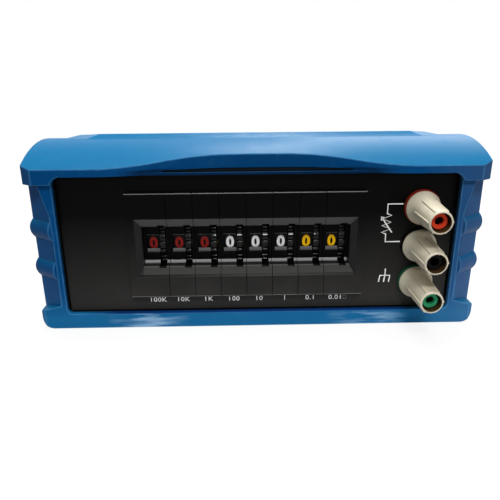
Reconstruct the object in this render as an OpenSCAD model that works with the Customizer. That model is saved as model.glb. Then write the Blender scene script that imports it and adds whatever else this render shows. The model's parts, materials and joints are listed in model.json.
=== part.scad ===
// Decade resistance box: eight thumbwheel decades and three binding posts on a black panel,
// in a slim two-part case that sits in a rubber boot.
// Millimetres. +Z is up, the panel faces -Y, the origin is the middle of the boot's underside.

/* [Case] */
// Width of the case
case_w = 196; // [188:1:220]
// Height of the case
case_h = 74.5; // [73:0.5:90]
// Depth of the case
case_d = 98; // [92:1:130]
// Thickness of the case walls
case_wall = 3.6; // [3:0.1:4.5]
// How far the panels sit back from the case edges
panel_inset = 1.5; // [1.2:0.1:3]
// Thickness of the front and rear panels
panel_t = 2; // [1.5:0.1:3]
// Depth of the slots that hold the panels
slot_depth = 1.5; // [1:0.1:2]
// Play of a panel in its slot
slot_play = 0.1; // [0.05:0.01:0.2]
// Radius of the case screws' shanks
screw_r = 1.5; // [1.2:0.1:2]
// Radius of the case screws' heads
screw_head_r = 2.9; // [2.6:0.1:3.4]
// Play round the case screws
screw_play = 0.1; // [0.05:0.01:0.2]
// Radius of the screw pillars
pillar_r = 4; // [3.6:0.1:5]
// Distance of the pillars from the case's sides
pillar_in = 14; // [11:0.5:16]
// Distance of the pillars from the case's front and rear edges
pillar_back = 28; // [24:0.5:34]

/* [Boot] */
// Thickness of the boot's sides
boot_side = 10.2; // [8:0.1:12]
// Thickness of the boot's floor
boot_floor = 4.5; // [4:0.1:7]
// Thickness of the boot's roof at its rear edge
boot_roof = 3.2; // [2.5:0.1:5]
// Thickness of the lips that hold the case in
boot_lip = 3; // [2:0.1:4]
// Play between the case and the boot
boot_play = 0.2; // [0.1:0.05:0.4]
// How far the lips cover the case at its sides
lip_side = 3; // [2:0.1:4]
// How far the lips cover the case at its underside
lip_low = 3.5; // [2:0.1:4]
// How far the lips cover the case at its top
lip_high = 1.4; // [1:0.1:2]
// Corner radius of the two openings
opening_r = 5; // [3:0.5:8]
// Radius of the boot's lower long corners
boot_low_r = 6; // [3:0.5:8]
// Radius of the boot's upper long corners
boot_high_r = 1.5; // [1:0.1:3]
// How far the brow stands out past the front lip
brow_reach = 2; // [1:0.1:4]
// Height of the brow's end tabs below the case top
tab_drop = 5.2; // [4:0.1:7]
// Width of the chamfer on the ends of the brow
brow_chamfer = 5; // [3:0.1:6]
// Depth of the chamfer on the ends of the brow
brow_chamfer_d = 3.3; // [2:0.1:4]
// Rise of the brow's hump above the case top
hump_rise = 10.6; // [8:0.1:14]
// Radius of the hump
hump_r = 75; // [60:1:90]
// Distance of the hump's crest behind the front panel
hump_back = 28; // [22:0.5:32]
// Fall of the roof behind the hump, in degrees
roof_fall = 8.5; // [8:0.1:9.5]
// Length of the flatter deck at the rear of the roof
deck_len = 33; // [25:1:36]
// Setback of the hollow in the middle of the brow
hollow_d = 10.5; // [8:0.1:11]
// Half the straight run in the middle of the hollow
hollow_flat = 8; // [5:1:12]
// Length of each curved run of the hollow
hollow_run = 72; // [60:1:78]
// Thickness of the sill under the hollow
hollow_sill = 1.1; // [0.8:0.1:1.2]
// Depth of the sill from front to back
sill_d = 1.4; // [1:0.1:2]
// Height of the pad on the roof
pad_h = 1.9; // [1:0.1:3]
// Length of the pad on the roof
pad_len = 36; // [20:1:40]
// Width of the pad at its top
pad_w = 160; // [120:1:180]
// Run of the pad's sloped ends
pad_run = 6; // [3:0.5:9]
// Run of the pad's sloped front and rear edges
pad_edge = 5; // [1.5:0.1:7]
// Width of the flat rim beside the front opening
rim_w = 2.6; // [2:0.1:4]
// Depth of the bevel along the boot's front sides
bevel_d = 7.8; // [5:0.1:9]
// Height of the corner feet below the bevel
foot_h = 12.5; // [11:0.1:16]
// Slope of the top of the corner feet, in degrees
foot_slope = 14; // [8:1:20]
// Height of the lower grip rib above the boot's underside
rib_z = 31; // [28:0.5:34]
// Spacing of the two grip ribs
rib_pitch = 20; // [14:0.5:22]
// Height of a grip rib
rib_h = 10; // [8:0.5:12]
// How far a grip rib stands proud of the side
rib_proud = 2; // [1.4:0.1:2.5]
// How much less a grip rib stands proud of the bevel
rib_drop = 0.3; // [0.2:0.1:0.6]
// Length of the run-out at a grip rib's rear end
rib_run_out = 8; // [4:0.5:12]

/* [Switch bank] */
// Spacing of the decades
pitch = 12.7; // [12.6:0.1:13]
// Gap between neighbouring housings
seam = 0.25; // [0.15:0.05:0.3]
// Width of the end cheeks
cheek_w = 6.4; // [6:0.1:8]
// Thickness of the cheeks behind the panel
cheek_t = 3; // [2:0.1:4]
// Offset of the bank's middle from the panel's middle
bank_x = -5.5; // [-10:0.5:0]
// Height of the bank's middle above the boot's underside
bank_z = 42.4; // [41.5:0.1:44]
// Height of the bank's face
bank_h = 52.6; // [50:0.1:58]
// How far the bank's face stands out from the panel
bank_proud = 3; // [2.5:0.1:4]
// Height of the finger well
well_h = 20.4; // [19:0.1:22]
// How far the finger well sits below the bank's middle
well_drop = 1; // [0:0.1:2]
// Height of the slopes above and below the well
slope_h = 4.6; // [3:0.1:5]
// Width of the slopes at the ends of the well
slope_w = 2.7; // [2:0.1:3.2]
// Depth of the slopes round the well
slope_d = 3.5; // [3:0.1:4]
// Depth of the well behind its slopes
well_d = 5; // [4.5:0.1:6]
// Thickness of the window plate
plate_t = 1.2; // [1:0.1:1.4]
// Height of the switch bodies behind the panel
body_h = 36; // [35:0.5:40]
// Thickness of each housing's own wall
house_wall = 1; // [0.8:0.1:1.2]
// Height of the digit windows
window_h = 7; // [6.5:0.1:7.5]
// Bevel above and below each digit window
window_bevel = 1.1; // [0.8:0.1:1.4]
// Rise of the sloped sill across the plate, under each digit window
window_sill = 1.6; // [1:0.1:2]
// Chamfer along the foot of the window plate
plate_foot = 1.4; // [1:0.1:2]
// Radius of the thumbwheels
wheel_r = 14; // [13.5:0.1:14.3]
// Width of the toothed part of the thumbwheels
wheel_w = 3; // [2.5:0.1:3]
// Number of teeth on a thumbwheel
teeth = 20; // [20, 40]
// Depth of the teeth
tooth_d = 1.3; // [0.8:0.1:1.6]
// Radius of the digit drums
drum_r = 11; // [10:0.1:11]
// Width of the digit drums
drum_w = 6.4; // [6:0.1:6.4]
// Running gap between the moving parts and the housing
run_gap = 0.3; // [0.2:0.05:0.35]
// Radius of the wheel axles
axle_r = 2.5; // [2:0.1:4]
// Running clearance of the wheels on their axles
axle_play = 0.06; // [0.03:0.01:0.1]
// Thickness of the decade boards
board_t = 1.2; // [0.8:0.1:1.4]
// How far the decade boards reach behind the front panel
board_reach = 75; // [70:1:80]
// Radius of the tie rods
rod_r = 1.5; // [1.2:0.1:1.6]
// Play of the tie rods in their holes
rod_play = 0.1; // [0.05:0.01:0.2]
// Thickness of the clamp brackets
bracket_t = 1.2; // [1:0.1:2]
// Length of the brackets' feet along the panel
bracket_foot = 9; // [6:0.5:10]

/* [Binding posts] */
// Distance of the posts from the case's right-hand side
post_inset = 19.5; // [18:0.5:22]
// Height of the middle post above the boot's underside
post_z = 41.1; // [40:0.1:43]
// Spacing of the posts
post_pitch = 19.05; // [18:0.05:20]
// Radius of the test lead sockets
socket_r = 2; // [1.5:0.1:2.1]
// Depth of the test lead sockets
socket_depth = 19; // [15:1:20]
// Radius of the metal stems
stem_r = 3; // [2.8:0.1:3.2]
// Running clearance of caps and washers on the stems
stem_play = 0.06; // [0.03:0.01:0.1]
// Reach of the stems in front of the panel
stem_reach = 22; // [21.5:0.1:23]
// Reach of the stems behind the panel
stem_tail = 12; // [11:0.5:14]
// Thickness of the coloured collars
collar_t = 2.2; // [1.5:0.1:2.5]
// Radius of the coloured collars
collar_r = 8.6; // [8.2:0.1:9]
// Radius of the collars' spigots in the panel
spigot_r = 4.2; // [4:0.1:5]
// Play of the spigots in the panel
spigot_play = 0.1; // [0.05:0.01:0.2]
// Wall of the coloured sleeves round the stems
sleeve_wall = 0.55; // [0.4:0.05:0.6]
// Length of the coloured sleeves
sleeve_len = 11; // [9:0.5:11]
// Thickness of the sleeves' front faces
sleeve_face = 2.5; // [2:0.1:3]
// Reach of the caps in front of the panel
cap_reach = 27.3; // [27:0.1:29]
// Radius of the caps' flared bases
cap_base_r = 8.2; // [7.8:0.1:8.6]
// Radius of the caps where the flare ends
cap_waist_r = 6.1; // [6:0.1:6.4]
// Radius of the caps' tips
cap_tip_r = 5.4; // [5.2:0.1:5.8]
// Radius of the caps' mouths
mouth_r = 4.5; // [4.1:0.05:4.6]
// Length of the flare
flare_len = 7.5; // [6:0.5:9]
// Number of ridges round a cap
ridges = 6; // [6, 8, 10]
// Width of a ridge
ridge_w = 0.8; // [0.6:0.1:1.2]
// How far a ridge stands proud
ridge_proud = 0.5; // [0.2:0.05:0.6]
// Radius of the clamp washers
washer_r = 6.2; // [5.5:0.1:6.6]
// Thickness of the clamp washers
washer_t = 1.5; // [1:0.1:2]
// Gap under the caps' flares when screwed home
cap_gap = 0.3; // [0.2:0.05:0.5]
// Thickness of the rear insulators
insulator_t = 2; // [1.5:0.1:3]
// Thickness of the solder tags
tag_t = 0.8; // [0.5:0.1:1]
// Thickness of the post nuts
nut_t = 4; // [3:0.1:5]
// Radius of the lead wires
wire_r = 0.8; // [0.5:0.1:1]

/* [Hidden] */
$fn = 64;

// Number of decades, one for each housing, wheel and wiper in the list
decades = 8;

// Overshoot of the cutting shapes, and how far joined shapes run into each other
cut = 1;
lap = 0.01;

// Depths: the boot is centred on the origin
boot_d = brow_reach + 2 * boot_lip + case_d + boot_play;
boot_front = -boot_d / 2;
boot_back = boot_d / 2;
rim_y = boot_front + brow_reach;
case_front = rim_y + boot_lip;
case_back = case_front + case_d;
panel_y = case_front + panel_inset;
panel_back = panel_y + panel_t;

// Heights
case_low = boot_floor;
case_top = case_low + case_h;
split_z = case_low + case_h / 2;
opening_low = case_low + lip_low;
opening_high = case_top - lip_high;
hump_top = case_top + hump_rise;
tab_low = case_top - tab_drop;
boot_half = case_w / 2 + boot_play + boot_side;
opening_half = case_w / 2 - lip_side;

// The roof: an arc over the hump, then, past a slight crease in degrees, a straight fall and a flatter deck
hump_y = panel_y + hump_back;
crease = 1;
fall_y = hump_y + hump_r * sin(roof_fall - crease);
fall_z = hump_top - hump_r * (1 - cos(roof_fall - crease));
fall_lap = hump_r * (sin(roof_fall) - sin(roof_fall - crease));
roof_z = case_top + boot_roof;
tail_y = boot_back - deck_len;
tail_z = roof_line(tail_y);

// The bevel along the boot's front sides, and the ribs that start just inside its front edge
rib_lead = 0.4;
rib_root = 0.6;
bevel_x = opening_half + rim_w;
bevel_w = boot_half - bevel_x;
bevel_angle = atan2(bevel_d, bevel_w);
bevel_len = norm([bevel_w, bevel_d]);
rib_r = (pow(rib_h / 2, 2) + pow(rib_proud, 2)) / (2 * rib_proud);
rib_in = rib_r - rib_proud;

// The hollow in the brow
hollow_lead = 0.3;
hollow_full = hollow_d + hollow_lead;
hollow_r = (pow(hollow_run, 2) + pow(hollow_full, 2)) / (4 * hollow_full);
sill_z = opening_high + hollow_sill;

// The pad on the roof, whose edges and ends run on down into it
pad_setback = 0.5;
pad_y = hump_y + pad_setback;
pad_sink = 0.2;
pad_end_lap = 5;

// The case's inside
inner_w = case_w - 2 * case_wall;
inner_low = case_low + case_wall;
inner_high = case_top - case_wall;
panel_w = inner_w + 2 * (slot_depth - slot_play);
panel_low = inner_low - slot_depth + slot_play;
panel_high = inner_high + slot_depth - slot_play;
head_h = 2.4;
head_sink = 0.4;
screw_grip = 8;

// The switch bank
bank_w = decades * pitch;
bank_left = bank_x - bank_w / 2;
bank_right = bank_x + bank_w / 2;
bank_front = panel_y - bank_proud;
well_z = bank_z - well_drop;
slope_back = bank_front + slope_d;
plate_y = slope_back + well_d;
plate_back = plate_y + plate_t;
axle_y = plate_back + run_gap + drum_r;
house_w = pitch - seam;
chamber_gap = 1.2;
chamber_r = wheel_r + chamber_gap;
spring_depth = 1.3;
spring_y = axle_y + chamber_r + spring_depth;
spring_half = 7.5;
spring_room = 0.5;
spring_leaf = 0.4;
nose_half = 1.6;
nose_gap = 0.4;
back_wall = 2;
house_back = spring_y + back_wall;
board_x = house_w - board_t;
board_setback = 0.8;
board_front = plate_back + board_setback;
board_inset = 0.5;
board_low = well_z - body_h / 2 + board_inset;
board_high = well_z + body_h / 2 - board_inset;
drum_x = house_wall + run_gap;
wheel_x = drum_x + drum_w;
wheel_end = wheel_x + wheel_w;
slot_left = wheel_x - run_gap / 2;
slot_right = wheel_end + run_gap;
window_land = 0.1;
window_left = drum_x + window_land;
window_right = slot_left + window_land;
window_draft = 0.2;
notch_h = 1.2;
notch_lead = 0.6;
gap_floor_share = 1 / 8;
gap_mouth_share = 5 / 13;
rod_from_back = 4;
rod_from_edge = 4.5;
rod_y = house_back - rod_from_back;
rod_z = body_h / 2 - rod_from_edge;
nut_r = 3.1;
rod_nut_t = 2.4;
rod_over = 0.6;
cutout_play = 0.2;
cutout_w = bank_w + 2 * (cheek_t + cutout_play);
cutout_h = body_h + 2 * cutout_play;
bracket_inset = 2;
bracket_h = body_h - 2 * bracket_inset;
wiper_t = 0.3;
wiper_ring = 3;
wiper_arm_w = 2;
wiper_arm_inset = 3;

// One wire-wound bobbin and the grid of nine on each board
bobbin_r = 3.6;
bobbin_core = 2.9;
bobbin_flange = 0.8;
bobbin_h = 7;
bobbin_row = 11;
bobbin_column = 10;
bobbin_start = 6;

// The posts, measured from the panel's face outwards
post_x = case_w / 2 - post_inset;
spigot_inset = 0.2;
spigot_len = panel_t - spigot_inset;
washer_low = collar_t;
washer_high = washer_low + washer_t;
cap_low = collar_t + cap_gap;
seat_gap = 0.05;
cap_seat = washer_high + seat_gap;
washer_play = 0.1;
flare_rim = 0.8;
flare_top = cap_low + flare_rim + flare_len;
ridge_root = 0.5;
ridge_lead = 1;
sleeve_high = stem_reach + sleeve_face;
sleeve_low = sleeve_high - sleeve_len;
cap_step = 8;
sleeve_r = stem_r + stem_play + sleeve_wall;
tip_round = 0.5;
insulator_r = 7;
tag_r = 5;
tag_w = 3;
tag_len = 10;
hex_r = 5.7;

// Names and colours of the posts, from the top one down
POSTS = ["red", "black", "green"];
POST_COLOURS = ["firebrick", "dimgray", "seagreen"];

// Where each lead wire runs, from its tag to its far end
wire_on_tag = 1.5;
wire_lead = 8;
wire_from_end = 12;
wire_rise = 6.5;
bond_rise = 3;
elbow_swell = 1.04;
wire_x = post_x - tag_len + wire_on_tag;
tag_back = panel_back + insulator_t + tag_t;
first_board_x = bank_left + board_x + board_t / 2;
last_board_x = bank_right - seam;
wire_y = panel_y + board_reach - wire_from_end;
high_wire_z = board_high + wire_rise;
bracket_right_x = bank_right - seam + cheek_t + bracket_t;
bond_z = well_z - bracket_h / 2 + bond_rise;
wire_turn_y = tag_back + wire_lead;
RED_ROUTE = [[wire_x, tag_back, post_z + post_pitch], [wire_x, wire_turn_y, post_z + post_pitch],
             [wire_x, wire_turn_y, high_wire_z], [first_board_x, wire_y, high_wire_z],
             [first_board_x, wire_y, board_high]];
BLACK_ROUTE = [[wire_x, tag_back, post_z], [wire_x, wire_y, post_z], [last_board_x, wire_y, post_z]];
GREEN_ROUTE = [[wire_x, tag_back, post_z - post_pitch], [wire_x, wire_turn_y, post_z - post_pitch],
               [wire_x, wire_turn_y, bond_z], [bracket_right_x, wire_turn_y, bond_z]];

function module_left(i) = bank_left + (i - 1) * pitch;
function roof_line(y) = fall_z - (y - fall_y) * tan(roof_fall);

// A box from its low corner to its high corner
module block(low, high) {
    translate(low) cube(high - low);
}

// Extrudes a profile drawn in Y and Z along X
module along_x(x0, x1) {
    translate([x0, 0, 0]) rotate([90, 0, 90]) linear_extrude(x1 - x0) children();
}

// Extrudes an outline drawn in X and Z along Y
module along_y(y0, y1) {
    translate([0, y1, 0]) rotate([90, 0, 0]) linear_extrude(y1 - y0) children();
}

// Turns an upright shape so that its top points out of the panel, at a post's place
module on_post(z) {
    translate([post_x, panel_y, z]) rotate([90, 0, 0]) children();
}

// The three posts' places
module at_posts() {
    for (k = [-1, 0, 1]) on_post(post_z + k * post_pitch) children();
}

module both_sides() {
    children();
    mirror([1, 0, 0]) children();
}

// A rectangle centred on X, from one height to another, with its own lower and upper corner radii
module round_rect(half, low, high, low_r, high_r) {
    translate([-half, low + low_r]) square([2 * half, high - low - low_r - high_r]);
    translate([-half + low_r, low]) square([2 * (half - low_r), low_r + lap]);
    translate([-half + high_r, high - high_r - lap]) square([2 * (half - high_r), high_r + lap]);
    for (side = [-1, 1]) {
        translate([side * (half - low_r), low + low_r]) circle(low_r);
        translate([side * (half - high_r), high - high_r]) circle(high_r);
    }
}

// The body under the roof: a block cut by the hump's arc and by the two planes behind it
module roof_body() {
    above = hump_top + cut;
    difference() {
        block([-boot_half, boot_front, 0], [boot_half, boot_back, above]);
        along_x(-boot_half - cut, boot_half + cut) difference() {
            translate([boot_front - cut, hump_top - hump_r])
                square([fall_y + fall_lap - boot_front + cut, hump_r + 2 * cut]);
            translate([hump_y, hump_top - hump_r]) circle(hump_r, $fn = 180);
        }
        along_x(-boot_half - cut, boot_half + cut)
            polygon([[hump_y, roof_line(hump_y)], [tail_y, tail_z],
                     [boot_back + cut, roof_z - cut * (tail_z - roof_z) / deck_len],
                     [boot_back + cut, above + cut], [hump_y, above + cut]]);
    }
}

// The boot seen from above: chamfered in front, rounded behind
module boot_plan() {
    back_r = boot_low_r;
    polygon([[-boot_half, boot_front + brow_chamfer_d], [-boot_half + brow_chamfer, boot_front],
             [boot_half - brow_chamfer, boot_front], [boot_half, boot_front + brow_chamfer_d],
             [boot_half, boot_back - back_r], [boot_half - back_r, boot_back - back_r],
             [boot_half - back_r, boot_back], [back_r - boot_half, boot_back],
             [back_r - boot_half, boot_back - back_r], [-boot_half, boot_back - back_r]]);
    for (side = [-1, 1])
        translate([side * (boot_half - back_r), boot_back - back_r]) circle(back_r);
}

// The plan of the hollow in the brow: a straight run between two S-curves that start before the front
module hollow_plan() {
    translate([0, boot_front - hollow_lead]) both_sides() {
        translate([-cut, -cut]) square([hollow_flat + cut, hollow_full + cut]);
        intersection() {
            translate([hollow_flat, hollow_full - hollow_r]) circle(hollow_r, $fn = 180);
            translate([hollow_flat - cut, -cut]) square([hollow_run / 2 + cut, hollow_full + cut]);
        }
        difference() {
            translate([hollow_flat + hollow_run / 2 - cut, -cut])
                square([hollow_run / 2 + cut, hollow_full / 2 + cut]);
            translate([hollow_flat + hollow_run, hollow_r]) circle(hollow_r, $fn = 180);
        }
    }
}

// One side's bevel between the brow's tab and the corner foot
module side_bevel() {
    past_side = rim_y + bevel_d * (bevel_w + cut) / bevel_w;
    intersection() {
        linear_extrude(tab_low)
            polygon([[bevel_x, rim_y], [boot_half + cut, past_side],
                     [boot_half + cut, boot_front - cut], [bevel_x, boot_front - cut]]);
        translate([bevel_x, boot_front - cut, foot_h]) rotate([0, foot_slope, 0])
            translate([-bevel_w, 0, 0]) cube([4 * bevel_w, boot_d, case_h]);
    }
}

// A rib's section: the round that stands out of the boot, and a root that runs far into it
module rib_section(root) {
    rotate(180) circle(rib_r);
    translate([-boot_d, -rib_h / 2 - root]) square([boot_d, rib_h + 2 * root]);
}

// The right-hand grip rib at height zero: a run along the bevel and one along the side, each of which
// ends on the other's round at the bend
module grip_rib() {
    rib_end = boot_back - boot_low_r;
    proud_x = boot_half + 2 * rib_proud;
    intersection() {
        translate([bevel_x, rim_y, 0]) rotate(bevel_angle - 90)
            along_y(rib_lead, 2 * boot_d) translate([-rib_in - rib_drop, 0]) rib_section(rib_root);
        along_y(boot_front, boot_back) translate([boot_half - rib_in, 0]) rib_section(2 * rib_root);
        translate([0, 0, -rib_h]) linear_extrude(2 * rib_h)
            polygon([[opening_half, boot_front - cut], [proud_x, boot_front - cut],
                     [proud_x, rib_end - rib_run_out], [boot_half - rib_proud, rib_end],
                     [opening_half, rib_end]]);
    }
}

// All the grip ribs: a rib is the same upside down, so half a turn about Y gives the left-hand one
module grip_ribs() {
    for (z = [rib_z, rib_z + rib_pitch], turn = [0, 180])
        translate([0, 0, z]) rotate([0, turn, 0]) grip_rib();
}

// The pad that lies on the roof behind the hump
module roof_pad() {
    pad_back = pad_y + pad_len;
    pad_top = roof_line(pad_y + pad_edge) + pad_h;
    end_out = pad_w / 2 + pad_end_lap * pad_run;
    end_low = pad_top - pad_end_lap * pad_h;
    intersection() {
        along_x(-boot_half, boot_half)
            polygon([[pad_y, roof_z], [pad_y, hump_top - pad_sink], [pad_y + pad_edge, pad_top],
                     [pad_back - pad_edge, roof_line(pad_back - pad_edge) + pad_h],
                     [pad_back, roof_line(pad_back) - pad_sink], [pad_back, roof_z]]);
        along_y(boot_front, boot_back)
            polygon([[-end_out, end_low], [-pad_w / 2, pad_top], [pad_w / 2, pad_top], [end_out, end_low]]);
    }
}

module rubber_boot() {
    color("steelblue") difference() {
        union() {
            difference() {
                intersection() {
                    roof_body();
                    along_y(boot_front, boot_back)
                        round_rect(boot_half, 0, hump_top + boot_high_r, boot_low_r, boot_high_r);
                    linear_extrude(hump_top + cut) boot_plan();
                }
                block([-boot_half - cut, boot_front - cut, -cut], [boot_half + cut, rim_y, tab_low]);
                both_sides() side_bevel();
            }
            grip_ribs();
            roof_pad();
        }
        block([-case_w / 2 - boot_play, case_front, case_low],
              [case_w / 2 + boot_play, case_back + boot_play, case_top + boot_play]);
        along_y(boot_front - cut, boot_back + cut)
            round_rect(opening_half, opening_low, opening_high, opening_r / 2, opening_r);
        translate([0, 0, sill_z]) linear_extrude(hump_top) hollow_plan();
        intersection() {
            translate([0, 0, tab_low]) linear_extrude(hump_top) hollow_plan();
            union() {
                block([-boot_half, boot_front - cut, 0], [boot_half, rim_y, hump_top]);
                block([-boot_half, rim_y + sill_d, 0], [boot_half, case_front + cut, hump_top]);
            }
        }
    }
}

// One closed half of the case: its outer box less the inside, the panel slots and the openings
module case_shell(low, high) {
    slot_low = inner_low - slot_depth;
    slot_high = inner_high + slot_depth;
    difference() {
        block([-case_w / 2, case_front, low], [case_w / 2, case_back, high]);
        block([-inner_w / 2, case_front - cut, inner_low], [inner_w / 2, case_back + cut, inner_high]);
        for (y = [panel_y, case_back - panel_inset - panel_t - slot_play])
            block([-inner_w / 2 - slot_depth, y, slot_low],
                  [inner_w / 2 + slot_depth, y + panel_t + slot_play, slot_high]);
    }
}

// The four screw pillars' places
module at_pillars() {
    for (x = [-1, 1], y = [case_front + pillar_back, case_back - pillar_back])
        translate([x * (case_w / 2 - pillar_in), y, 0]) children();
}

module case_tray() {
    color("#222224") difference() {
        union() {
            case_shell(case_low, split_z);
            at_pillars() translate([0, 0, case_low + cut])
                cylinder(r = pillar_r, h = split_z - case_low - cut);
        }
        at_pillars() {
            translate([0, 0, case_low - cut]) cylinder(r = screw_r + screw_play, h = case_h);
            translate([0, 0, case_low - cut])
                cylinder(r = screw_head_r + screw_play, h = head_h + head_sink + cut);
        }
    }
}

module case_cover() {
    color("#222224") difference() {
        union() {
            case_shell(split_z, case_top);
            at_pillars() translate([0, 0, split_z]) cylinder(r = pillar_r, h = case_top - split_z - cut);
        }
        at_pillars() translate([0, 0, split_z - cut])
            cylinder(r = screw_r + screw_play, h = screw_grip + 2 * cut);
    }
}

module case_screws() {
    screw_low = case_low + head_sink;
    color("silver") at_pillars() translate([0, 0, screw_low]) {
        cylinder(r = screw_head_r, h = head_h);
        cylinder(r = screw_r, h = split_z + screw_grip - screw_low);
    }
}

module front_panel() {
    color("#1b1b1c") difference() {
        block([-panel_w / 2, panel_y, panel_low], [panel_w / 2, panel_back, panel_high]);
        block([bank_x - cutout_w / 2, panel_y - cut, well_z - cutout_h / 2],
              [bank_x + cutout_w / 2, panel_back + cut, well_z + cutout_h / 2]);
        at_posts() translate([0, 0, -panel_t - cut])
            cylinder(r = spigot_r + spigot_play, h = panel_t + 2 * cut);
    }
}

module rear_panel() {
    color("#1b1b1c")
        block([-panel_w / 2, case_back - panel_inset - panel_t, panel_low],
              [panel_w / 2, case_back - panel_inset, panel_high]);
}

// The side view of the finger well with its sloped mouth
module well_profile() {
    half = well_h / 2;
    mouth_half = half + slope_h * (slope_d + cut) / slope_d;
    polygon([[bank_front - cut, well_z - mouth_half], [slope_back, well_z - half],
             [plate_y - plate_foot, well_z - half], [plate_y, well_z - half + plate_foot],
             [plate_y, well_z + half],
             [slope_back, well_z + half], [bank_front - cut, well_z + mouth_half]]);
}

// Holes for the tie rods through anything between two planes across X
module rod_holes(x0, x1) {
    for (side = [-1, 1]) translate([x0, rod_y, well_z + side * rod_z]) rotate([0, 90, 0])
        cylinder(r = rod_r + rod_play, h = x1 - x0);
}

module switch_housing(i) {
    low = well_z - body_h / 2;
    high = well_z + body_h / 2;
    window_half = window_h / 2;
    sill_front = well_z - window_half - window_bevel;
    color("#161617") translate([module_left(i), 0, 0]) {
        difference() {
            union() {
                block([0, bank_front, bank_z - bank_h / 2], [house_w, panel_y, bank_z + bank_h / 2]);
                block([0, panel_y - lap, low], [house_w, board_front, high]);
                block([0, board_front - lap, low], [board_x, house_back, high]);
            }
            along_x(-cut, house_w + cut) well_profile();
            // chamber for the wheel, open towards the board
            intersection() {
                translate([house_wall, axle_y, well_z]) rotate([0, 90, 0])
                    cylinder(r = chamber_r, h = board_x + cut - house_wall);
                block([house_wall, plate_back, 0], [board_x + cut, house_back, 2 * bank_z]);
            }
            // pocket for the detent spring
            block([slot_left, axle_y, well_z - spring_half - spring_room],
                  [board_x + cut, spring_y, well_z + spring_half + spring_room]);
            // slot for the toothed wheel, which also notches the well's floor and ceiling
            block([slot_left, slope_back - notch_lead, well_z - well_h / 2 - notch_h],
                  [slot_right, plate_back + cut, well_z + well_h / 2 + notch_h]);
            // digit window, with a sloped sill below and a bevel above
            along_x(window_left, window_right)
                polygon([[plate_y - lap, sill_front],
                         [plate_back + cut, sill_front + window_sill * (plate_t + cut) / plate_t],
                         [plate_back + cut, well_z + window_half - window_draft],
                         [plate_y - lap, well_z + window_half + window_bevel]]);
            rod_holes(-cut, house_w + cut);
        }
        translate([house_wall / 2, axle_y, well_z]) rotate([0, 90, 0])
            cylinder(r = axle_r, h = board_x - run_gap - house_wall / 2);
    }
}

module digit_wheel(i) {
    step = 360 / teeth;
    floor_half = wheel_r * sin(step * gap_floor_share);
    mouth_half = wheel_r * sin(step * gap_mouth_share);
    color("#242426") translate([module_left(i) + drum_x, axle_y, well_z]) rotate([0, 90, 0]) difference() {
        union() {
            cylinder(r = drum_r, h = drum_w + lap);
            translate([0, 0, drum_w]) difference() {
                cylinder(r = wheel_r, h = wheel_w);
                for (k = [0 : teeth - 1]) rotate(90 + (k + 0.5) * step) translate([0, 0, -cut])
                    linear_extrude(wheel_w + 2 * cut)
                        polygon([[wheel_r - tooth_d, -floor_half], [wheel_r + tooth_d, -mouth_half],
                                 [wheel_r + tooth_d, mouth_half], [wheel_r - tooth_d, floor_half]]);
            }
        }
        translate([0, 0, -cut]) cylinder(r = axle_r + axle_play, h = drum_w + wheel_w + 2 * cut);
    }
}

// Sprung bronze wiper: a ring on the wheel's side with two arms that end at the board
module contact_wiper(i) {
    color("peru") translate([module_left(i) + wheel_end, axle_y, well_z]) rotate([0, 90, 0]) difference() {
        union() {
            cylinder(r = axle_r + wiper_ring, h = wiper_t);
            for (turn = [90, 270]) rotate(turn) translate([0, -wiper_arm_w / 2, 0])
                cube([wheel_r - wiper_arm_inset, wiper_arm_w, wiper_t]);
        }
        translate([0, 0, -cut]) cylinder(r = axle_r + 2 * axle_play, h = 3 * cut);
    }
}

// One flat spring in each chamber, with a nose that rests between two teeth
module detent_springs() {
    half_step = 180 / teeth;
    nose = (wheel_r - tooth_d + nose_gap) * [cos(half_step), sin(half_step)];
    back = spring_y - axle_y;
    front = back - spring_leaf;
    color("lightsteelblue") for (i = [1 : decades])
        translate([module_left(i) + wheel_x, axle_y, well_z]) along_x(run_gap, wheel_w - run_gap)
            polygon([[front, -spring_half], [front, nose[1] - nose_half], nose, [front, nose[1] + nose_half],
                     [front, spring_half], [back, spring_half], [back, -spring_half]]);
}

module decade_boards() {
    color("darkgreen") for (i = [1 : decades]) translate([module_left(i), 0, 0]) difference() {
        block([board_x, board_front, board_low], [board_x + board_t, panel_y + board_reach, board_high]);
        rod_holes(-cut, house_w + cut);
    }
}

// Nine equal wire-wound bobbins in a grid on each board, behind its housing
module decade_resistors() {
    top = bobbin_h - bobbin_flange;
    color("cornflowerblue") for (i = [1 : decades], row = [-1, 0, 1], column = [0, 1, 2])
        translate([module_left(i) + board_x, house_back + bobbin_start + column * bobbin_column,
                   well_z + row * bobbin_row])
            rotate([0, -90, 0]) rotate_extrude()
                polygon([[0, 0], [bobbin_r, 0], [bobbin_r, bobbin_flange], [bobbin_core, bobbin_flange],
                         [bobbin_core, top], [bobbin_r, top], [bobbin_r, bobbin_h], [0, bobbin_h]]);
}

// The right-hand cheek, drawn from the bank's right edge outwards
module cheek() {
    difference() {
        union() {
            block([0, bank_front, bank_z - bank_h / 2], [cheek_w, panel_y, bank_z + bank_h / 2]);
            block([0, panel_y - lap, well_z - body_h / 2], [cheek_t, house_back, well_z + body_h / 2]);
        }
        intersection() {
            along_x(-cut, cheek_w) well_profile();
            linear_extrude(2 * bank_z)
                polygon([[-cut, bank_front - cut], [slope_w * (slope_d + cut) / slope_d, bank_front - cut],
                         [0, slope_back], [-cut, slope_back]]);
        }
        rod_holes(-cut, cheek_w + cut);
    }
}

module end_cheek_left() {
    color("#161617") translate([bank_left, 0, 0]) mirror([1, 0, 0]) cheek();
}

module end_cheek_right() {
    color("#161617") translate([bank_right - seam, 0, 0]) cheek();
}

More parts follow.
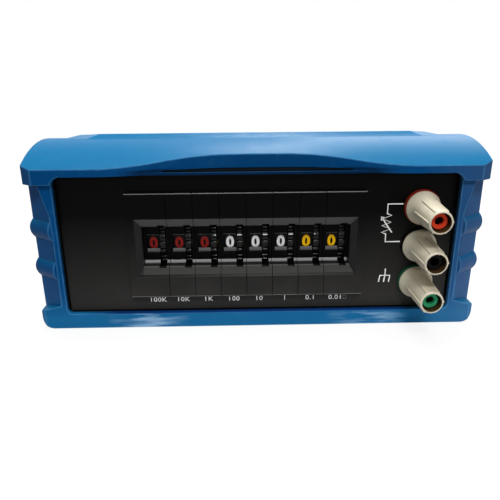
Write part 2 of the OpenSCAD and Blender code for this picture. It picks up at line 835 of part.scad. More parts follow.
// An angle that hangs on the tie rods and bears on the back of the panel
module bracket() {
    difference() {
        union() {
            block([cheek_t, panel_back, well_z - bracket_h / 2],
                  [cheek_t + bracket_t, house_back, well_z + bracket_h / 2]);
            block([cheek_t, panel_back, well_z - bracket_h / 2],
                  [cheek_t + bracket_foot, panel_back + bracket_t, well_z + bracket_h / 2]);
        }
        rod_holes(0, cheek_t + bracket_t + cut);
    }
}

module clamp_bracket_left() {
    color("silver") translate([bank_left, 0, 0]) mirror([1, 0, 0]) bracket();
}

module clamp_bracket_right() {
    color("silver") translate([bank_right - seam, 0, 0]) bracket();
}

module tie_rods() {
    over = cheek_t + bracket_t + rod_nut_t + rod_over;
    color("silver") for (side = [-1, 1]) translate([bank_left - over, rod_y, well_z + side * rod_z])
        rotate([0, 90, 0]) cylinder(r = rod_r, h = bank_w - seam + 2 * over);
}

module tie_rod_nuts() {
    color("silver") for (side = [-1, 1], x = [bank_left - cheek_t - bracket_t - rod_nut_t,
                                              bank_right - seam + cheek_t + bracket_t])
        translate([x, rod_y, well_z + side * rod_z]) rotate([0, 90, 0]) difference() {
            cylinder(r = nut_r, h = rod_nut_t, $fn = 6);
            translate([0, 0, -cut]) cylinder(r = rod_r + rod_play / 2, h = rod_nut_t + 2 * cut);
        }
}

// The cap's outline, revolved: a thin flared rim, a hollow curve and a slim taper to the tip
module cap_profile() {
    flare_out = cap_base_r - cap_waist_r;
    curve_r = (pow(flare_len, 2) + pow(flare_out, 2)) / (2 * flare_out);
    difference() {
        union() {
            translate([0, cap_low]) square([cap_base_r, flare_rim]);
            difference() {
                translate([0, cap_low + flare_rim - lap]) square([cap_base_r, flare_len + lap]);
                translate([cap_waist_r + curve_r, flare_top]) circle(curve_r);
            }
            polygon([[0, flare_top - lap], [cap_waist_r, flare_top - lap],
                     [cap_tip_r, cap_reach - tip_round], [cap_tip_r - tip_round, cap_reach], [0, cap_reach]]);
        }
        translate([0, cap_low - cut]) square([washer_r + washer_play, cap_seat - cap_low + cut]);
        translate([0, cap_low]) square([stem_r + stem_play, cap_reach]);
        translate([0, cap_step]) square([mouth_r, cap_reach]);
    }
}

// A fluted cap that screws along its stem and bears on its washer
module cap(z) {
    ridge_in = mouth_r + ridge_root;
    ridge_top = cap_reach - 2 * tip_round;
    on_post(z) {
        rotate_extrude() cap_profile();
        for (k = [0 : ridges - 1]) rotate(k * 360 / ridges) translate([0, ridge_w / 2, 0]) rotate([90, 0, 0])
            linear_extrude(ridge_w)
                polygon([[ridge_in, flare_top - 2 * ridge_lead],
                         [cap_waist_r + ridge_proud, flare_top - ridge_lead],
                         [cap_tip_r + ridge_proud, ridge_top], [ridge_in, ridge_top]]);
    }
}

module collar(z) {
    on_post(z) difference() {
        union() {
            cylinder(r = collar_r, h = collar_t);
            translate([0, 0, -spigot_len]) cylinder(r = spigot_r, h = spigot_len + lap);
        }
        translate([0, 0, -spigot_len - cut])
            cylinder(r = stem_r + stem_play, h = spigot_len + collar_t + 2 * cut);
    }
}

// A coloured tube over the stem's front end, with the socket's mouth in its face
module sleeve(z) {
    on_post(z) difference() {
        translate([0, 0, sleeve_low]) cylinder(r = sleeve_r, h = sleeve_len);
        translate([0, 0, sleeve_low - cut])
            cylinder(r = stem_r + stem_play / 2, h = stem_reach - sleeve_low + cut);
        translate([0, 0, sleeve_low]) cylinder(r = socket_r, h = sleeve_len + cut);
    }
}

module stem(z) {
    on_post(z) difference() {
        translate([0, 0, -panel_t - stem_tail]) cylinder(r = stem_r, h = stem_reach + panel_t + stem_tail);
        translate([0, 0, stem_reach - socket_depth]) cylinder(r = socket_r, h = socket_depth + cut);
    }
}

module washer(z) {
    on_post(z) translate([0, 0, washer_low]) difference() {
        cylinder(r = washer_r, h = washer_t);
        translate([0, 0, -cut]) cylinder(r = stem_r + stem_play, h = washer_t + 2 * cut);
    }
}

module rear_insulators() {
    color("ivory") at_posts() translate([0, 0, -panel_t - insulator_t]) difference() {
        cylinder(r = insulator_r, h = insulator_t);
        translate([0, 0, -cut]) cylinder(r = stem_r + stem_play, h = insulator_t + 2 * cut);
    }
}

module solder_tags() {
    color("gainsboro") at_posts() translate([0, 0, -panel_t - insulator_t - tag_t]) difference() {
        union() {
            cylinder(r = tag_r, h = tag_t);
            translate([-tag_len, -tag_w / 2, 0]) cube([tag_len, tag_w, tag_t]);
        }
        translate([0, 0, -cut]) cylinder(r = stem_r + stem_play, h = tag_t + 2 * cut);
    }
}

module post_nuts() {
    color("silver") at_posts() translate([0, 0, -panel_t - insulator_t - tag_t - nut_t]) difference() {
        cylinder(r = hex_r, h = nut_t, $fn = 6);
        translate([0, 0, -cut]) cylinder(r = stem_r + stem_play, h = nut_t + 2 * cut);
    }
}

// A straight round run of wire between two points
module wire_run(a, b) {
    along = b - a;
    turn = atan2(along[1], along[0]);
    lean = acos(along[2] / norm(along));
    translate(a) rotate([0, lean, turn]) cylinder(r = wire_r, h = norm(along));
}

module wire(route) {
    for (k = [0 : len(route) - 2]) wire_run(route[k], route[k + 1]);
    for (k = [1 : len(route) - 2]) translate(route[k]) sphere(wire_r * elbow_swell);
}

module lead_wires() {
    color("whitesmoke") {
        wire(RED_ROUTE);
        wire(BLACK_ROUTE);
        wire(GREEN_ROUTE);
    }
}

rubber_boot();
case_tray();
case_cover();
front_panel();
rear_panel();
case_screws();
end_cheek_left();
end_cheek_right();
clamp_bracket_left();
clamp_bracket_right();
tie_rods();
tie_rod_nuts();
decade_boards();
decade_resistors();
detent_springs();
for (i = [1 : decades]) {
    switch_housing(i);
    digit_wheel(i);
    contact_wiper(i);
}
for (k = [0 : len(POSTS) - 1]) {
    z = post_z + (1 - k) * post_pitch;
    color("#CFC9B5") cap(z);
    color(POST_COLOURS[k]) collar(z);
    color(POST_COLOURS[k]) sleeve(z);
    color("gold") stem(z);
    color("gold") washer(z);
}
rear_insulators();
solder_tags();
post_nuts();
lead_wires();
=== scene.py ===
"""Looks of a decade resistance box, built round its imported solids. Metres, +Z up, the panel faces -Y."""
import json
import math

import bmesh
import bpy
from mathutils import Matrix, Vector

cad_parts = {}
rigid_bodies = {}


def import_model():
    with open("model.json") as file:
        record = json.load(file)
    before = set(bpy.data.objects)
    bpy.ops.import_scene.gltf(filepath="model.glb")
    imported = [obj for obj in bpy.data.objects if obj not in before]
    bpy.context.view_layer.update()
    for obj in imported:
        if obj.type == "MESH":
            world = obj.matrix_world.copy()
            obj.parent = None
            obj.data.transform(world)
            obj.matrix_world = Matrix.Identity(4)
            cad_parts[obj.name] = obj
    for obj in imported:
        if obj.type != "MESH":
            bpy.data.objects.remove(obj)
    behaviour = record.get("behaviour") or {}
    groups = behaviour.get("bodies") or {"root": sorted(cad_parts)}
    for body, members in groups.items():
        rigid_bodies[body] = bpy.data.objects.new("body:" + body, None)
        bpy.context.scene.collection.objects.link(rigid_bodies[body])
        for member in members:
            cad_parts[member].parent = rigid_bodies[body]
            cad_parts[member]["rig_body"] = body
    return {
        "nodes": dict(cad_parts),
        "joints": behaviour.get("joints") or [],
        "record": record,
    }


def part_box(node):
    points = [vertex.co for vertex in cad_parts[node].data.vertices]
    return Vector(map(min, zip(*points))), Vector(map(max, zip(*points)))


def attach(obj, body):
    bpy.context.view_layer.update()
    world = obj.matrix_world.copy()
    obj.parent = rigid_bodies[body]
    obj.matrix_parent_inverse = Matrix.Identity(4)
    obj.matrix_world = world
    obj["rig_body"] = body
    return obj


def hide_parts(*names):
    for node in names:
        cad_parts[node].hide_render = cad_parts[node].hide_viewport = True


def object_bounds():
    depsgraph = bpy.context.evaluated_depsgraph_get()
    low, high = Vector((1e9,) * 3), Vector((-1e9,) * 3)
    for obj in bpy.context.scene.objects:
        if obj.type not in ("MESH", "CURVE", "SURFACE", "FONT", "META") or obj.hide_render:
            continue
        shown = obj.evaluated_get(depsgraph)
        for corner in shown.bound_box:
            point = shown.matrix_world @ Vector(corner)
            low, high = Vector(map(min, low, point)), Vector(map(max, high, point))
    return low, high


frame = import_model()
cad_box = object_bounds()

MM = 0.001
UPRIGHT = Matrix.Rotation(math.radians(90), 4, "X")
POSTS = ("red", "black", "green")
DECADES = range(1, 9)
AXLES = {joint["child"]: Vector(joint["pos_m"]) for joint in frame["joints"] if joint["type"] == "hinge"}
SLOT_OF = {row["node"]: row["material_slot"] for row in frame["record"]["subparts"]}

# What is printed under each decade, and the colour of its digits
DECADE_VALUES = ("100K", "10K", "1K", "100", "10", "1", "0.1", "0.01")
DIGIT_INKS = ("red_ink",) * 3 + ("white_ink",) * 3 + ("amber_ink",) * 2


# Shader and geometry graphs

class Signal:
    """A socket that takes part in Python sums: each operator adds one Math node."""

    def __init__(self, graph, socket):
        self.graph = graph
        self.socket = socket

    def __add__(self, other):
        return self.graph.maths("ADD", self, other)

    def __radd__(self, other):
        return self.graph.maths("ADD", other, self)

    def __sub__(self, other):
        return self.graph.maths("SUBTRACT", self, other)

    def __rsub__(self, other):
        return self.graph.maths("SUBTRACT", other, self)

    def __mul__(self, other):
        return self.graph.maths("MULTIPLY", self, other)

    def __rmul__(self, other):
        return self.graph.maths("MULTIPLY", other, self)

    def __truediv__(self, other):
        return self.graph.maths("DIVIDE", self, other)

    def __abs__(self):
        return self.graph.maths("ABSOLUTE", self)

    def larger(self, other):
        return self.graph.maths("MAXIMUM", self, other)


class Graph:
    """A node tree to which nodes are added one call at a time."""

    def __init__(self, tree):
        self.tree = tree

    def put(self, socket, value):
        if isinstance(value, Signal):
            self.tree.links.new(value.socket, socket)
        else:
            socket.default_value = value

    def node(self, kind, settings=None, inputs=None, output=0):
        node = self.tree.nodes.new(kind)
        for name, value in (settings or {}).items():
            setattr(node, name, value)
        for key, value in (inputs or {}).items():
            self.put(node.inputs[key], value)
        return Signal(self, node.outputs[output])

    def maths(self, operation, first, second=0.0):
        return self.node("ShaderNodeMath", {"operation": operation}, {0: first, 1: second})


# The lot, from 0 to 1, above which a cell holds a dot, and the share of a dot's radius inside its soft edge
SPECK_LOT = (0.86, 0.9)
SPECK_EDGE = 0.6


class Finish(Graph):
    """A material: one Principled shader, fed by patterns in the object's own metres."""

    def __init__(self, name):
        self.material = bpy.data.materials.new(name)
        self.material.use_nodes = True
        super().__init__(self.material.node_tree)
        self.shader = self.tree.nodes["Principled BSDF"]
        self.place = self.node("ShaderNodeTexCoord", output="Object")
        self.facing = self.node("ShaderNodeTexCoord", output="Normal")

    def part(self, vector, axis):
        """One of a vector's three numbers."""
        return self.node("ShaderNodeSeparateXYZ", {}, {0: vector}, "XYZ".index(axis))

    def fade(self, value, span):
        """0 where the value is at the span's start or before it, 1 where it is at its end or past it."""
        return self.node("ShaderNodeMapRange", {}, {"Value": value, "From Min": span[0], "From Max": span[1]})

    def along(self, axis, span):
        """A fade between two places on one of the object's axes."""
        return self.fade(self.part(self.place, axis), span)

    def noise(self, size, detail=2.0, drawn=1.0):
        """Cloudy pattern from 0 to 1 with patches of about that size, drawn out that many times along X."""
        squeezed = {0: self.place, 1: (1 / drawn, 1, 1)}
        place = self.node("ShaderNodeVectorMath", {"operation": "MULTIPLY"}, squeezed)
        return self.node("ShaderNodeTexNoise", {}, {"Vector": place, "Scale": 1 / size, "Detail": detail})

    def specks(self, spacing, radius):
        """1 inside small round dots scattered at about that spacing."""
        cells = {"Vector": self.place, "Scale": 1 / spacing}
        distance = self.node("ShaderNodeTexVoronoi", {}, cells)
        pick = self.node("ShaderNodeTexVoronoi", {}, cells, "Color")
        lot = self.node("ShaderNodeSeparateColor", {}, {0: pick})
        dot = self.fade(distance, (radius / spacing, SPECK_EDGE * radius / spacing))
        return self.fade(lot, SPECK_LOT) * dot

    def mark(self, name):
        """1 on faces that rounded_copy marks: "edge" on rounds, "lean" on slopes, "bore" in holes."""
        return self.node("ShaderNodeAttribute", {"attribute_name": name}, output="Fac")

    def mix(self, share, first, second):
        return self.node("ShaderNodeMix", {"data_type": "RGBA"}, {0: share, 6: first, 7: second}, 2)

    def shades(self, share, first, second):
        """A mix of two colours given by their codes."""
        return self.mix(share, tint(first), tint(second))

    def layered(self, colour, *layers):
        """A colour with others laid over it in turn, each given as its share and its code."""
        for share, code in layers:
            colour = self.mix(share, colour, tint(code))
        return colour

    def bump(self, height, distance):
        return self.node("ShaderNodeBump", {}, {"Strength": 1.0, "Distance": distance, "Height": height})

    def surface(self, colour, roughness, normal=None, **others):
        """Sets the shader's inputs: the others by name, with a low line for each space."""
        self.put(self.shader.inputs["Base Color"], colour)
        self.put(self.shader.inputs["Roughness"], roughness)
        if normal:
            self.put(self.shader.inputs["Normal"], normal)
        for name, value in others.items():
            self.put(self.shader.inputs[name.replace("_", " ")], value)
        return self.material


def tint(code):
    """A colour from its six-digit screen code, as linear light."""
    parts = [int(code[k:k + 2], 16) / 255 for k in (1, 3, 5)]
    return [c / 12.92 if c <= 0.04045 else ((c + 0.055) / 1.055) ** 2.4 for c in parts] + [1.0]


# Materials. A pair of places, tilts or levels is where a fade starts and where it ends.
# Specks are given as their spacing and their radius.

SATIN_GLOSS = 0.04
DUST_AND_REFLECTION_FADE = (58 * MM, 12 * MM)
DUST_AND_REFLECTION_TONE = "#2E2D2C"
MOTTLE_SIZE = 9 * MM
FINE_RELIEF = 0.012 * MM


def settled_dust(finish, cloud):
    """Uneven dust that thickens towards the foot of the panel, standing also for a painted reflection of the
    floor there.
    """
    return finish.along("Z", DUST_AND_REFLECTION_FADE) * (0.7 + 0.6 * cloud)


BOOT_DRIFT_SIZE = 45 * MM
BOOT_GRAIN_SIZE = 0.35 * MM
BOOT_RELIEF = 0.03 * MM
BOOT_GLOSS = 0.035
BOOT_EDGE_SHEEN_AND_WEAR_SIZE = 4 * MM
BOOT_SPECKS = (5 * MM, 0.2 * MM)
SCUFF_SIZE = 6 * MM
SCUFF_LEVEL = (0.56, 0.74)
LIT_TOP_TILT = (0.2, 0.9)
PAD_STEP = (90.0 * MM, 90.4 * MM)
FOOT_FADE = (16 * MM, 6 * MM)
RIGHT_SHEEN_END = (75 * MM, 106 * MM)
SHELTERED = (0.6, 0.2)
BOOT_FRONT = (-46 * MM, -48 * MM)
SLIT_LOW = (76.5 * MM, 77.5 * MM)
SLIT_HIGH = (80.5 * MM, 79.5 * MM)
SLIT_END = (66 * MM, 54 * MM)
LIP_TOP = (9.5 * MM, 8.5 * MM)
LIP_END = (88 * MM, 70 * MM)
LIP_TILT = (0.15, 0.5)
LIP_GLARE_TILT = (0.6, 0.2)
LIP_GLARE_FROM = (34 * MM, 48 * MM)
LIP_GLARE_TO = (76 * MM, 62 * MM)
STREAK_SIZE = 2.2 * MM
STREAK_DRAWN = 9.0
STREAK_LEVEL = (0.4, 0.65)


def rubber(name):
    """Satin moulded rubber: lighter upward faces as painted top light, paler towards the foot, painted sheen
    at the right end, painted glare on the lip, painted shade on the lip's top and in the brow's slit, worn
    edges with a painted highlight, and dust.
    """
    finish = Finish(name)
    drift = finish.noise(BOOT_DRIFT_SIZE, 3.0)
    grain = finish.noise(BOOT_GRAIN_SIZE, 3.0)
    scuffs = finish.fade(finish.noise(SCUFF_SIZE, 6.0), SCUFF_LEVEL)
    streaks = finish.fade(finish.noise(STREAK_SIZE, 3.0, STREAK_DRAWN), STREAK_LEVEL)
    aside = abs(finish.part(finish.place, "X"))
    upward = finish.part(finish.facing, "Z")
    # Upward faces and the raised pad take a lighter blue: painted top light.
    lit_top = finish.fade(upward, LIT_TOP_TILT).larger(finish.along("Z", PAD_STEP))
    # Paler towards the foot.
    near_foot = finish.along("Z", FOOT_FADE)
    # The right end, on faces away from the top light, is paler: painted sheen from the light at the right.
    right_sheen = finish.along("X", RIGHT_SHEEN_END) * finish.fade(lit_top, SHELTERED) * (0.5 + drift)
    front = finish.along("Y", BOOT_FRONT)
    slit = finish.along("Z", SLIT_LOW) * finish.along("Z", SLIT_HIGH)
    # Darker in the slit under the brow: painted shade.
    slit_shade = front * slit * finish.fade(aside, SLIT_END)
    lip = front * finish.along("Z", LIP_TOP)
    # The lip's upward faces are darker: painted shade.
    lip_top_shade = lip * finish.fade(upward, LIP_TILT) * finish.fade(aside, LIP_END)
    # Pale streaks on the lip's front: painted glare.
    polish_and_sheen = lip * finish.fade(upward, LIP_GLARE_TILT) * streaks
    polish_and_sheen = polish_and_sheen * finish.fade(aside, LIP_GLARE_FROM) * finish.fade(aside, LIP_GLARE_TO)
    colour = finish.layered(
        finish.shades(lit_top, "#033E70", "#045A80"),
        (near_foot * 0.8, "#186490"),
        (drift * 0.25, "#0A5C9C"),
        (scuffs * 0.05, "#4A93C6"),
        # Paler rounded edges: wear, and a painted edge highlight.
        (finish.mark("edge") * finish.noise(BOOT_EDGE_SHEEN_AND_WEAR_SIZE) * 0.4, "#5A9CCB"),
        (finish.specks(*BOOT_SPECKS) * 0.8, "#DCE8F2"),
        (right_sheen * 0.11, "#7C8EA0"),
        (polish_and_sheen * 0.7, "#8FB2D0"),
        (lip_top_shade * 0.85, "#03205E"),
        (slit_shade * 0.8, "#04142E"),
    )
    roughness = 0.32 + 0.08 * drift + 0.1 * scuffs
    relief = finish.bump(grain + 4 * drift, BOOT_RELIEF)
    return finish.surface(colour, roughness, relief, Specular_IOR_Level=BOOT_GLOSS)


WEAR_SIZE = 2.5 * MM
WEAR_LEVEL = (0.35, 0.7)


def plastic(name, code, pale, roughness, grain_size, grain_depth, gloss=0.5, inside=None):
    """Moulded plastic: a fine grain, slight mottling, paler worn edges and perhaps a bore darkened as painted
    shade.
    """
    finish = Finish(name)
    mottle = finish.noise(MOTTLE_SIZE, 4.0)
    grain = finish.noise(grain_size, 2.0)
    wear = finish.mark("edge") * finish.fade(finish.noise(WEAR_SIZE, 4.0), WEAR_LEVEL)
    colour = finish.layered(
        finish.shades(mottle, code, pale),
        (wear * 0.5, pale),
        # Faces in a bore take the last colour: painted shade.
        (finish.mark("bore"), inside or code),
    )
    shine = roughness - 0.04 + 0.08 * mottle
    return finish.surface(colour, shine, finish.bump(grain, grain_depth), Specular_IOR_Level=gloss)


COLLAR_DEPTH = (-54 * MM, -50 * MM)
POST_MOTTLE_SIZE = 4 * MM


def post_plastic(name, code, pale, gloss=0.12):
    """Coloured plastic of a terminal, darkened with painted shade where it sits against the panel."""
    finish = Finish(name)
    mottle = finish.noise(POST_MOTTLE_SIZE, 3.0)
    collar_shade = finish.along("Y", COLLAR_DEPTH)
    # Darker towards the panel: painted shade on the collars.
    colour = finish.layered(finish.shades(mottle, code, pale), (collar_shade * 0.75, "#0A0202"))
    return finish.surface(colour, 0.32 + 0.1 * mottle, Specular_IOR_Level=gloss)


EROSION_SIZE = 0.22 * MM
SIDE_TILT = (0.2, 0.5)
LOWER_TILT = (0.0, 0.3)
LEFT_END = (-56.2 * MM, -56.4 * MM)
SLOPE_END = (27.5 * MM, 27.7 * MM)
SLOPE_BRINK = (30.5 * MM, 31.0 * MM)
SHADOW_LINE_LOW = (26.9 * MM, 27.1 * MM)
PLATE_DEPTH = (-44 * MM, -42.5 * MM)
SILL_DEPTH = (-45.5 * MM, -44.5 * MM)
SILL_FADE = (36.9 * MM, 37.9 * MM)
FOOT_STRIP = (34 * MM, 33 * MM)
FOOT_GLEAM = (31.3 * MM, 31.8 * MM)


def bank_moulding(name):
    """Polished black moulding: grey eroded slopes round the well, with painted reflections on the sills deep
    in it, and painted highlights on its rims, along the lower slope and at the foot of the windows.
    """
    finish = Finish(name)
    mottle = finish.noise(MOTTLE_SIZE, 4.0)
    texture = finish.noise(EROSION_SIZE, 2.0)
    lean = finish.mark("lean")
    lower = finish.fade(finish.part(finish.facing, "Z"), LOWER_TILT)
    side = finish.fade(abs(finish.part(finish.facing, "X")), SIDE_TILT)
    shaded = side.larger(finish.along("X", LEFT_END) * lower)
    deep = lean * finish.along("Y", SILL_DEPTH)
    outer = lean - deep
    above_shadow_line = finish.along("Z", SLOPE_END)
    slope = outer * above_shadow_line
    shadow_line = outer * finish.along("Z", SHADOW_LINE_LOW) * (1 - above_shadow_line)
    brink_highlight = slope * finish.along("Z", SLOPE_BRINK) * lower
    plate = finish.along("Y", PLATE_DEPTH) * (1 - lean)
    # The black face pales towards the foot: dust, with a painted reflection of the floor.
    dust_and_reflection = settled_dust(finish, mottle) * (1 - plate)
    polish_and_sheen = finish.layered(finish.shades(mottle, "#010101", "#030303"), (dust_and_reflection, DUST_AND_REFLECTION_TONE))
    eroded = finish.layered(
        finish.shades(texture, "#444444", "#585858"),
        # The up-facing lower slope is darker: painted shade.
        (lower, "#3A3A38"),
        # A pale line along the top of the lower slope: painted highlight.
        (brink_highlight * 0.6, "#5C5C5A"),
        (shaded, "#282828"),
    )
    # The sills deep in the well are paler: painted reflection.
    sill_reflection = finish.shades(finish.along("Z", SILL_FADE), "#343434", "#565656")
    # A bright strip at the foot of the windows: painted highlight.
    foot = finish.shades(finish.along("Z", FOOT_GLEAM), "#404040", "#8C8C8C")
    colour = finish.mix(slope, polish_and_sheen, eroded)
    colour = finish.mix(deep, colour, sill_reflection)
    colour = finish.mix(deep * finish.along("Z", FOOT_STRIP), colour, foot)
    colour = finish.layered(
        colour,
        # A dark line at the foot of the lower slope: painted shadow.
        (shadow_line * 0.85, "#060606"),
        # Pale rounded rims: painted highlight.
        (finish.mark("edge") * (0.5 + 0.5 * mottle), "#888888"),
    )
    roughness = 0.28 + 0.06 * mottle + 0.25 * slope + 0.08 * deep + 0.3 * plate
    relief = finish.bump(texture * (0.1 + slope), FINE_RELIEF)
    return finish.surface(colour, roughness, relief, Specular_IOR_Level=SATIN_GLOSS)


WHEEL_AXLE = AXLES["wheel_1"]
WHEEL_MOTTLE_SIZE = 3 * MM
RIM_REACH = (11.2 * MM, 11.6 * MM)
RIM_COAT = 0.3
RIM_POLISH = 0.07


def wheel_moulding(name):
    """Black thumbwheel: a dull drum under the digits, and a glossy toothed rim."""
    finish = Finish(name)
    mottle = finish.noise(WHEEL_MOTTLE_SIZE, 3.0)
    y = finish.part(finish.place, "Y") - WHEEL_AXLE.y
    z = finish.part(finish.place, "Z") - WHEEL_AXLE.z
    rim = finish.fade(y * y + z * z, [reach ** 2 for reach in RIM_REACH])
    colour = finish.shades(mottle, "#030303", "#080808")
    return finish.surface(colour, 0.45 - 0.1 * rim, Specular_IOR_Level=SATIN_GLOSS,
                          Coat_Weight=rim * RIM_COAT, Coat_Roughness=RIM_POLISH)


PEEL_SIZE = 0.5 * MM
HAZE_SIZE = 30 * MM
PAINT_SPECKS = (9 * MM, 0.12 * MM)


def paint(name):
    """Satin black paint on sheet metal: fine orange peel, dust with a painted floor reflection towards the
    foot, and a few specks.
    """
    finish = Finish(name)
    peel = finish.noise(PEEL_SIZE, 3.0)
    haze = finish.noise(HAZE_SIZE, 3.0)
    colour = finish.layered(
        finish.shades(haze, "#010101", "#030303"),
        (settled_dust(finish, haze), DUST_AND_REFLECTION_TONE),
        (finish.specks(*PAINT_SPECKS) * 0.5, "#8A8A8A"),
    )
    relief = finish.bump(peel, FINE_RELIEF)
    return finish.surface(colour, 0.3 + 0.12 * haze, relief, Specular_IOR_Level=SATIN_GLOSS)


FILM_SIZE = 0.6 * MM
FILM_LEVEL = (0.25, 0.75)
INK_GLOSS = 0.1


def ink(name, code, worn):
    """Screen-printed ink with a slightly uneven film."""
    finish = Finish(name)
    film = finish.fade(finish.noise(FILM_SIZE, 4.0), FILM_LEVEL)
    return finish.surface(finish.shades(film, worn, code), 0.5 - 0.1 * film, Specular_IOR_Level=INK_GLOSS)


PATCH_SIZE = 3 * MM
BRUSHED_SIZE = 0.12 * MM
BRUSHED_RELIEF = 0.004 * MM
SOCKET_DEPTH = (-58 * MM, -61 * MM)


def metal(name, code, dull, roughness):
    """Turned or rolled metal: fine brushed grain, dull patches, and painted shade where the posts' sockets
    open.
    """
    finish = Finish(name)
    patch = finish.noise(PATCH_SIZE, 4.0)
    grain = finish.noise(BRUSHED_SIZE, 2.0)
    socket_shade = finish.along("Y", SOCKET_DEPTH)
    # Nearly black in front of the panel: painted shade in the posts' sockets.
    colour = finish.layered(finish.shades(patch, code, dull), (socket_shade, "#0A0806"))
    relief = finish.bump(grain, BRUSHED_RELIEF)
    return finish.surface(colour, roughness + 0.15 * patch, relief, Metallic=1.0)


# The finish of each material slot and each ink, with its settings
FINISHES = {
    "boot_rubber": (rubber,),
    # Case plastic is near black, darker than moulded black plastic: painted shade where it shows in the
    # brow's slit.
    "case_plastic": (plastic, "#030303", "#060606", 0.55, 0.4 * MM, 0.02 * MM, 0.03),
    "panel_paint": (paint,),
    "bank_plastic": (bank_moulding,),
    "wheel_plastic": (wheel_moulding,),
    "board_laminate": (plastic, "#1D5A32", "#2A6E40", 0.35, 0.3 * MM, 0.004 * MM),
    "resistor_body": (plastic, "#5E86A8", "#7397B5", 0.35, 0.3 * MM, 0.01 * MM),
    "steel": (metal, "#C9CBCE", "#A6A9AD", 0.28),
    "brass": (metal, "#D9B665", "#B58F45", 0.25),
    # Bronze is given darker than the metal is: painted shade on the bronze parts inside the housings.
    "bronze": (metal, "#7A5A3A", "#5A4028", 0.4),
    # The cap's last colour is painted shade in its bore.
    "cap_plastic": (plastic, "#B8AF98", "#CFC8B4", 0.36, 0.3 * MM, 0.008 * MM, 0.4, "#43301A"),
    "red_plastic": (post_plastic, "#C42E1A", "#DC4A2A"),
    "black_plastic": (post_plastic, "#030303", "#070707", 0.06),
    "green_plastic": (post_plastic, "#1E7A50", "#2E9A68"),
    "insulator_plastic": (plastic, "#D8D3C2", "#E4E0D2", 0.4, 0.3 * MM, 0.01 * MM),
    "wire_pvc": (plastic, "#DADADA", "#EDEDED", 0.4, 0.3 * MM, 0.006 * MM),
    "red_ink": (ink, "#8A1A14", "#6C120E"),
    "white_ink": (ink, "#F0F0EE", "#C8C8C6"),
    "amber_ink": (ink, "#F2BC00", "#D8A400"),
    "label_ink": (ink, "#FFFFFF", "#DADAD8"),
    "faint_ink": (ink, "#7C7C7A", "#4A4A49"),
}
MATERIALS = {name: make(name, *settings) for name, (make, *settings) in FINISHES.items()}
for node_name, node in frame["nodes"].items():
    for holder in node.material_slots:
        holder.material = MATERIALS[SLOT_OF[node_name]]


# Meshes

def new_piece(name, mesh, body, material):
    """A piece that rides a body, with its mesh already in place."""
    piece = bpy.data.objects.new(name, mesh)
    bpy.context.scene.collection.objects.link(piece)
    mesh.materials.clear()
    mesh.materials.append(MATERIALS[material])
    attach(piece, body)
    return piece


def plain_mesh(holder):
    """The mesh that an object's curve or modifiers come to."""
    return bpy.data.meshes.new_from_object(holder.evaluated_get(bpy.context.evaluated_depsgraph_get()))


def remade(mesh, kind, settings):
    """The plain mesh that one modifier makes of another mesh."""
    holder = bpy.data.objects.new("remade", mesh)
    bpy.context.scene.collection.objects.link(holder)
    modifier = holder.modifiers.new("remade", kind)
    for name, value in settings.items():
        if hasattr(modifier, name):
            setattr(modifier, name, value)
        else:
            modifier[name] = value
    out = plain_mesh(holder)
    holder.modifiers.remove(modifier)
    bpy.data.objects.remove(holder)
    return out


# Pieces with rounded edges that stand in for CAD nodes

WELD = 0.05 * MM
FLAT = math.radians(0.6)
SHARP = math.radians(26)
CREASE = math.radians(30)
ROUND_STEPS = 4
ROUND_PROFILE = 0.5
NORMAL_WEIGHT = 100
LEAN = (0.4, 0.9)
INWARD = -0.2

BROW_HEIGHT = (72 * MM, 80 * MM)
BROW_BACK = -40 * MM
BROW_HALF = 88 * MM
BANK_FRONT = -49 * MM
BANK_HEIGHT = (17 * MM, 68 * MM)


def anywhere(middle):
    return True


def off_sill(middle):
    """All but the lower edges of the brow, where its hollow runs out to a feather edge."""
    in_front = middle.y <= BROW_BACK and abs(middle.x) <= BROW_HALF
    return not (in_front and BROW_HEIGHT[0] <= middle.z <= BROW_HEIGHT[1])


def rims(middle):
    """The long upper and lower front edges of the switch bank."""
    return middle.y < BANK_FRONT and not BANK_HEIGHT[0] < middle.z < BANK_HEIGHT[1]


def outer_edges(shape, wanted):
    """The sharp convex edges of a shape whose middle is wanted."""
    ridges = [e for e in shape.edges if len(e.link_faces) == 2 and e.calc_face_angle_signed() > SHARP]
    return [e for e in ridges if wanted((e.verts[0].co + e.verts[1].co) / 2)]


